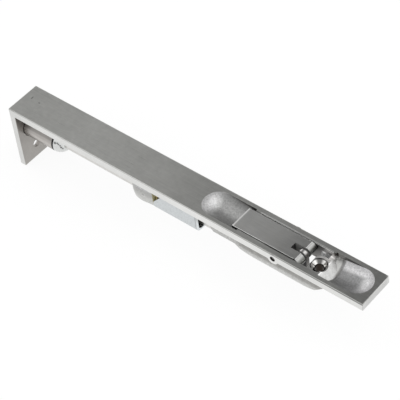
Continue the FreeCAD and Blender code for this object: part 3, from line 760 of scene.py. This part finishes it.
def boltFinish():
    c = bolt
    skin = Finish("boltMetal", c["patterns"])
    x = skin.along("X")
    nz = skin.turned("Z")
    # painted highlight along the sides, painted shade on top
    tone = skin.tone(c["tone"]) + c["sideGain"] * nz.size().within(*c["faceSide"])
    tone = tone + ramped(nz, c["topSteps"]) + ramped(x, c["startSteps"])
    colour = skin.shade(c["steel"], tone)
    colour = skin.tint(x.past(c["end"], c["endBorder"]), colour, collar["dark"])
    return skin.metal(colour, skin.tone(c["rough"]), skin.patterns["rings"])


# zinc plate: clouded, speckled and blotched; the channel has a bright cut end, with a painted shade
# band just before it

plate = {
    "patterns": {
        "clouds": (0.35, 3.0, 0.55),
        "blotches": (1.3, 3.0, 0.6),
        "fine": (3.0, 3.0, 0.6),
    },
    "specks": 0.9,
    "tone": {"plain": 0.84, "clouds": 0.22, "specks": 0.08, "fine": 0.06},
    "blotchSteps": ((0.52, 0.66, -0.14),),
    "rough": {"clouds": 0.14},
    "bump": 0.2,
    "channelEnd": 110.0,
    "faceCut": (0.80, 0.95),
    "cutGain": 0.25,
    "cutBand": (-0.7, -0.15, 0.1),
    "bandGain": -0.30,
}


def plateFinish(title, colour, rough, cutAt=None):
    c = plate
    skin = Finish(title, c["patterns"], c["specks"])
    tone = skin.tone(c["tone"]) + ramped(skin.patterns["blotches"], c["blotchSteps"])
    if cutAt:
        start, end, soft = c["cutBand"]
        band = skin.along("X").within(cutAt + start, cutAt + end, soft)
        cut = skin.turned("X").rise(*c["faceCut"])
        # painted shade band just before the cut end
        tone = tone + c["bandGain"] * band * (1 - cut) + c["cutGain"] * cut
    rough = rough + skin.tone(c["rough"])
    return skin.metal(skin.shade(colour, tone), rough, skin.patterns["fine"], c["bump"])


pinSteel = (0.55, 0.55, 0.54)
channelZinc = (0.61, 0.635, 0.645)
finishes = {
    "faceplate_casting": CastingFinish().painted(),
    "lever": leverFinish(),
    "guide_channel": plateFinish("channelZinc", channelZinc, 0.32, plate["channelEnd"]),
    "spring_leaf": drawnFinish("leafBronze", (0.74, 0.68, 0.38), 0.45, "alongRod"),
    "rod_bush": drawnFinish("bushBrass", (0.70, 0.60, 0.36), 0.40, "aboutRod"),
    "lever_pivot_pin": drawnFinish("pivotPinSteel", (0.36, 0.36, 0.355), 0.30, "alongPin"),
    "crank_pin": drawnFinish("crankPinSteel", pinSteel, 0.28, "alongPin"),
    "clevis_pin": drawnFinish("clevisPinSteel", pinSteel, 0.28, "alongPin"),
    "link": linkFinish(),
    "rod_clevis": plateFinish("clevisZinc", (0.62, 0.63, 0.63), 0.34),
    "clevis_lock_nut": plateFinish("nutZinc", (0.64, 0.65, 0.66), 0.30),
    "connecting_rod": drawnFinish("rodSteel", (0.69, 0.68, 0.66), 0.28, "alongRod"),
    "bolt_collar": collarFinish(),
    "bolt": boltFinish(),
}
for name, finish in finishes.items():
    for holder in nodes[name].material_slots:
        holder.material = finish
print("finishes made:", len(finishes))


# studio: white floor, one large soft box, and a sky with a dark patch that the face mirrors

studio = {
    "spot": (466.856 * mm, -360.545 * mm, 558.528 * mm),
    "tilt": (42.68648, 4.9938, 39.46046),
    "lens": 152.54,
    "sensor": 36.0,
    "clip": (0.01, 20.0),
    "white": (1.0, 1.0, 1.0),
    "floorZ": -21.0 * mm,
    "floorReach": 3.0,
    "shadowShare": 0.12,
    "darkFrom": (-0.252, 0.562, 0.788),
    "darkest": 4.0,
    "brightest": 35.0,
    "darkLevel": 0.17,
    "lampPower": 5.4,
    "lampSize": 1.8,
    "lampSpot": (0.5, -0.2, 1.1),
    "lampAim": (0.1, 0.0, 0.0),
}


def cameraAtPhoto():
    data = bpy.data.cameras.new("photoCamera")
    data.sensor_width = studio["sensor"]
    data.lens = studio["lens"]
    data.clip_start, data.clip_end = studio["clip"]
    camera = bpy.data.objects.new("photoCamera", data)
    camera.location = studio["spot"]
    camera.rotation_euler = Euler([math.radians(turn) for turn in studio["tilt"]])
    bpy.context.scene.collection.objects.link(camera)
    bpy.context.scene.camera = camera


def paperMaterial():  # seen as plain white, with a faint share of the light and shadow on it
    material = bpy.data.materials.new("floorPaper")
    material.use_nodes = True
    graph = Graph(material.node_tree)
    rays = ("Is Camera Ray", "Is Glossy Ray", "Is Transmission Ray")
    camera, glossy, through = [graph.node("LightPath", output=ray) for ray in rays]
    lit = graph.node("BsdfDiffuse", {}, {"Color": studio["white"]})
    white = graph.node("Emission", {}, {"Color": studio["white"], "Strength": 1.0})
    seen = camera.most(glossy).most(through) * (1 - studio["shadowShare"])
    graph.node("OutputMaterial", {}, {"Surface": graph.node("MixShader", {}, [seen, lit, white])})
    return material


def whiteFloor():
    reach, level = studio["floorReach"], studio["floorZ"]
    corners = [(-reach, -reach), (reach, -reach), (reach, reach), (-reach, reach)]
    mesh = bpy.data.meshes.new("floor")
    mesh.from_pydata([(*corner, level) for corner in corners], [], [(0, 1, 2, 3)])
    mesh.materials.append(paperMaterial())
    floor = bpy.data.objects.new("floor", mesh)
    bpy.context.scene.collection.objects.link(floor)


def softLight():
    data = bpy.data.lights.new("softBox", "AREA")
    data.shape = "SQUARE"
    data.size = studio["lampSize"]
    data.energy = studio["lampPower"]
    lamp = bpy.data.objects.new("softBox", data)
    lamp.location = studio["lampSpot"]
    aim = Vector(studio["lampAim"]) - lamp.location
    lamp.rotation_euler = aim.to_track_quat("-Z", "Y").to_euler()
    bpy.context.scene.collection.objects.link(lamp)


def studioWorld():
    world = bpy.data.worlds.new("studio")
    world.use_nodes = True
    bpy.context.scene.world = world
    graph = Graph(world.node_tree)
    camera = graph.node("LightPath", output="Is Camera Ray")
    way = graph.node("TexCoord", output="Generated")
    aim = {0: way, 1: studio["darkFrom"]}
    near = graph.node("VectorMath", {"operation": "DOT_PRODUCT"}, aim, 1)
    outer, inner = [math.cos(math.radians(studio[name])) for name in ("brightest", "darkest")]
    dim = 1 - near.rise(outer, inner) * (1 - studio["darkLevel"])
    level = dim + camera * (1 - dim)
    sky = graph.node("Background", {}, {"Color": studio["white"], "Strength": level})
    graph.node("OutputWorld", {}, {"Surface": sky})


cameraAtPhoto()
whiteFloor()
softLight()
studioWorld()
bpy.context.scene.view_settings.view_transform = "Standard"
print("studio set")
